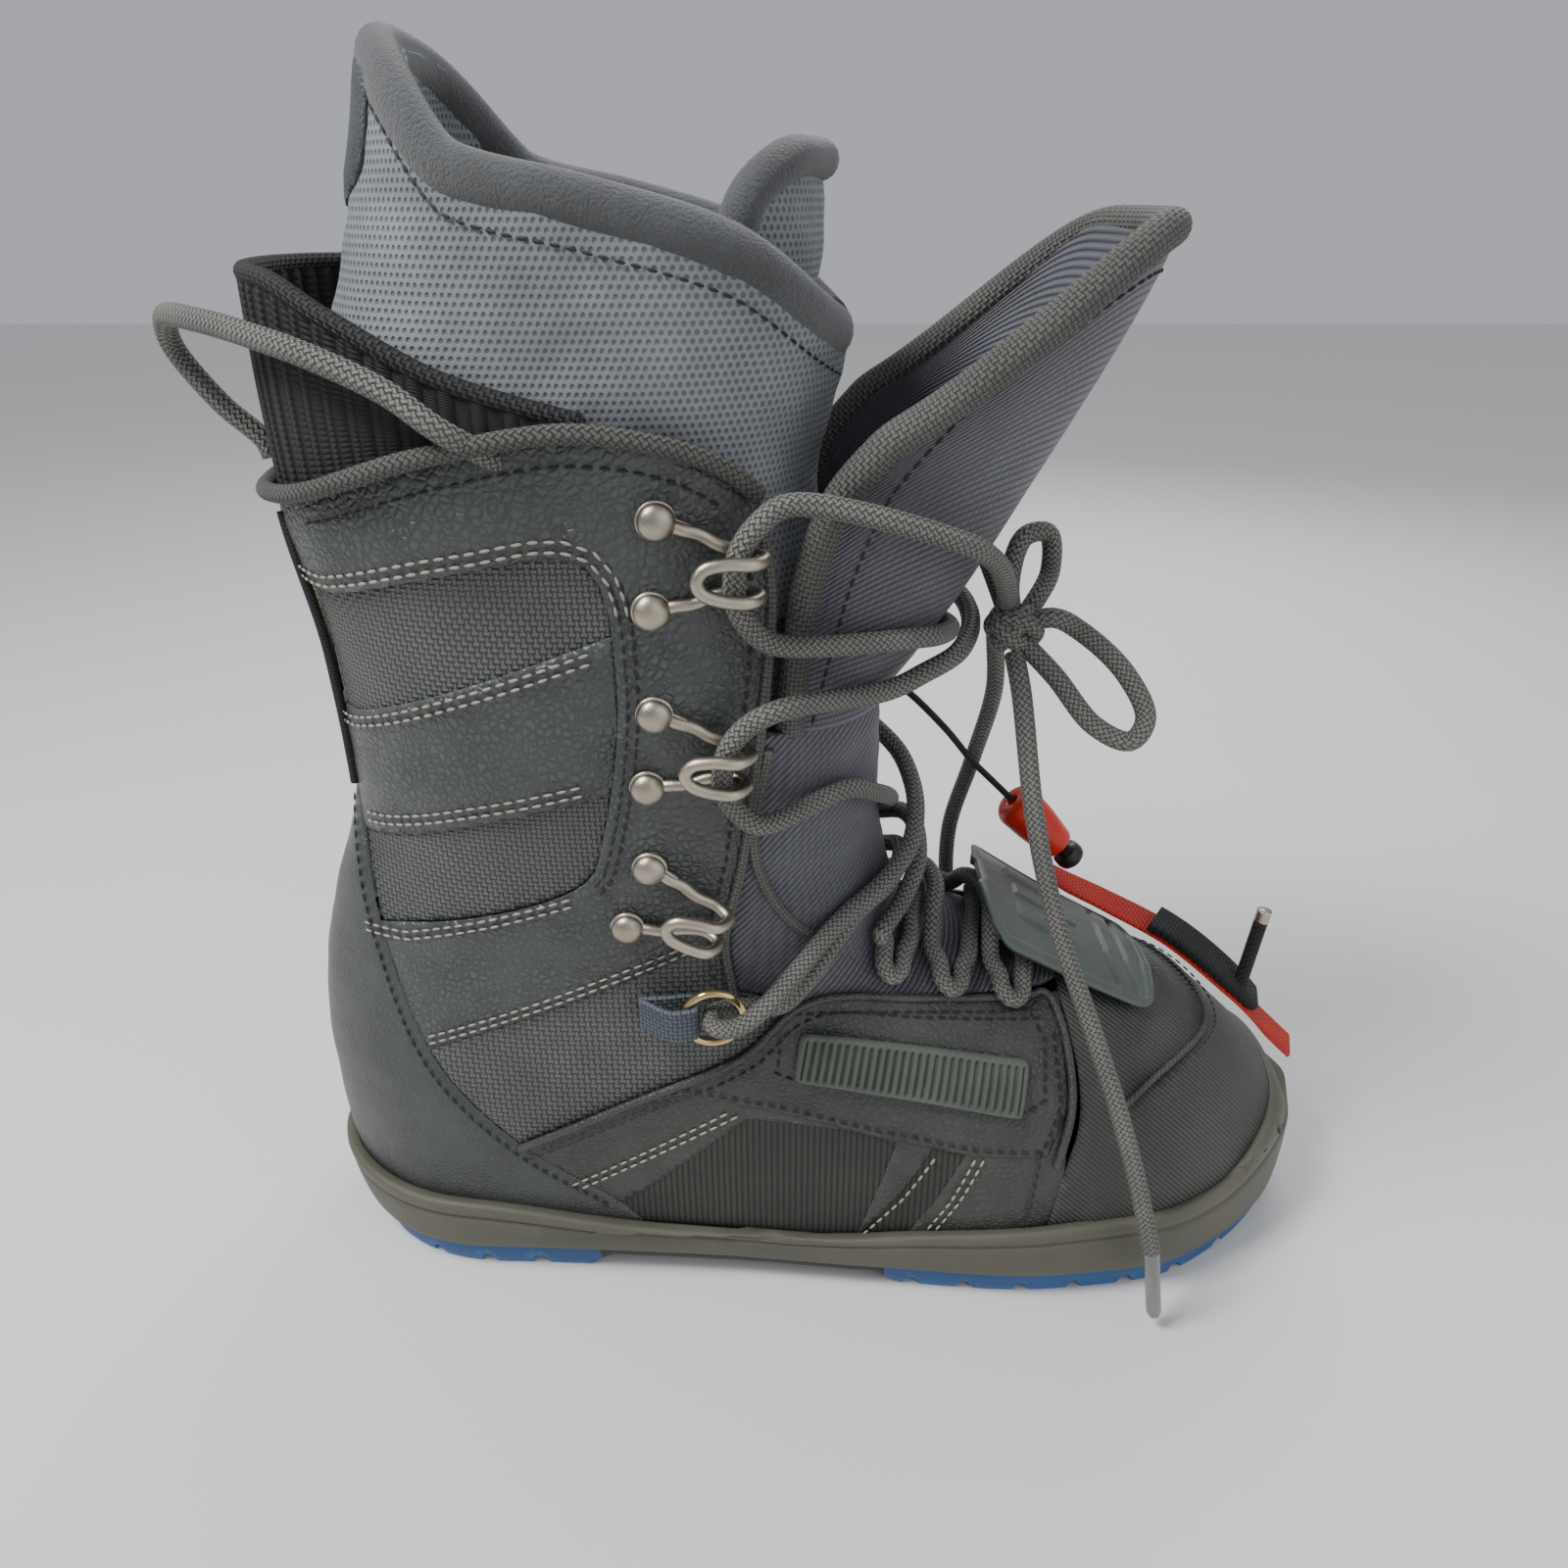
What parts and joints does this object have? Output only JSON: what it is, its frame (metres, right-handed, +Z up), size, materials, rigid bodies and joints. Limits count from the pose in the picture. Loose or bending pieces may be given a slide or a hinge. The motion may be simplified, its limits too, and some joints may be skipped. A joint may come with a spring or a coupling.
{
  "type": "snowboard boot",
  "caption": "Lace-up snowboard boot: rubber sole, panelled leather and nylon upper, wire speed hooks, padded tongue, inner liner and bow-tied round laces.",
  "frame": {"origin": "middle of the sole unit in plan, on the ground under the sole", "axes": "+X towards the toe, +Z up, lateral side of the right boot towards -Y"},
  "size_m": [0.3215, 0.1296, 0.3357],
  "materials": {
    "foxing_rubber": "matte olive-grey",
    "outsole_rubber": "matte blue",
    "board": "fibre board",
    "footbed": "moulded foam with brushed cover",
    "counter_leather": "fine grain, satin",
    "panel_leather": "pebbled grain, satin",
    "toe_twill": "rubberised twill",
    "tongue_nylon": "ribbed ballistic nylon",
    "ballistic_nylon": "basket weave nylon",
    "window_mesh": "coarse mesh",
    "liner_mesh": "spacer mesh with fleece rim",
    "knit": "ribbed knit",
    "tan_tape": "woven tape",
    "piping": "braided cord edge",
    "guard_rubber": "soft matte rubber",
    "grip_rubber": "ribbed rubber",
    "red_plastic": "satin",
    "black_plastic": "satin",
    "black_cord": "round cord",
    "red_webbing": "woven webbing",
    "black_webbing": "woven webbing",
    "blue_webbing": "woven webbing",
    "lace_braid": "round braid",
    "nickel": "satin warm nickel",
    "brass": "polished",
    "clear_plastic": "translucent tip"
  },
  "bodies": {
    "shell": {"midsole": "foxing_rubber", "outsole": "outsole_rubber", "lasting_board": "board", "heel_counter": "counter_leather", "toe_cap": "toe_twill", "side_panel_lateral": "panel_leather", "ankle_panel_lateral": "ballistic_nylon", "quarter_lateral": "panel_leather", "window_mesh_lateral": "window_mesh", "side_panel_medial": "panel_leather", "ankle_panel_medial": "ballistic_nylon", "quarter_medial": "panel_leather", "window_mesh_medial": "window_mesh", "tongue_lower": "tongue_nylon", "tongue_middle": "tongue_nylon", "liner": "liner_mesh", "footbed": "footbed", "liner_tongue": "liner_mesh", "rear_cuff": "knit", "backstay_strip": "tan_tape", "collar_piping": "piping", "lace_guard": "guard_rubber", "rivet_top_upper_lateral": "nickel", "rivet_top_lower_lateral": "nickel", "hook_top_lateral": "nickel", "rivet_mid_upper_lateral": "nickel", "rivet_mid_lower_lateral": "nickel", "hook_mid_lateral": "nickel", "rivet_low_upper_lateral": "nickel", "rivet_low_lower_lateral": "nickel", "hook_low_lateral": "nickel", "ring_webbing_lateral": "blue_webbing", "side_grip_lateral": "grip_rubber", "rivet_top_upper_medial": "nickel", "rivet_top_lower_medial": "nickel", "hook_top_medial": "nickel", "rivet_mid_upper_medial": "nickel", "rivet_mid_lower_medial": "nickel", "hook_mid_medial": "nickel", "rivet_low_upper_medial": "nickel", "rivet_low_lower_medial": "nickel", "hook_low_medial": "nickel", "ring_webbing_medial": "blue_webbing", "side_grip_medial": "grip_rubber", "lace_a": "lace_braid", "lace_b": "lace_braid", "lace_bow": "lace_braid", "lace_tail_lateral": "lace_braid", "aglet_lateral": "clear_plastic", "lace_tail_medial": "lace_braid", "aglet_medial": "clear_plastic", "rear_pull_loop": "lace_braid", "pull_cord": "black_cord"},
    "tongue_top": {"tongue_top": "tongue_nylon"},
    "ring_lateral": {"ring_lateral": "brass"},
    "ring_medial": {"ring_medial": "brass"},
    "lock": {"lock_body": "red_plastic", "pull_strap": "red_webbing", "strap_sleeve": "black_webbing"},
    "lock_button": {"lock_button": "black_plastic"}
  },
  "joints": [
    {"name": "tongue_fold", "type": "hinge", "parent": "shell", "child": "tongue_top", "pos_m": [0.0512, 0, 0.243], "axis": [0, 1, 0], "range_deg": [0, 25]},
    {"name": "ring_lateral_swing", "type": "hinge", "parent": "shell", "child": "ring_lateral", "pos_m": [-0.03965, -0.0479, 0.10511], "axis": [0, 0.0142, 0.9999], "range_deg": [-8, 0]},
    {"name": "ring_medial_swing", "type": "hinge", "parent": "shell", "child": "ring_medial", "pos_m": [-0.03965, 0.0479, 0.10511], "axis": [0, -0.0142, 0.9999], "range_deg": [0, 8]},
    {"name": "lock_slide", "type": "slide", "parent": "shell", "child": "lock", "axis": [0.7071, 0, -0.7071], "range_m": [-0.008, 0]},
    {"name": "lock_button_press", "type": "slide", "parent": "lock", "child": "lock_button", "axis": [0.7071, 0, -0.7071], "range_m": [-0.0025, 0], "stiffness_N_per_m": 400}
  ]
}
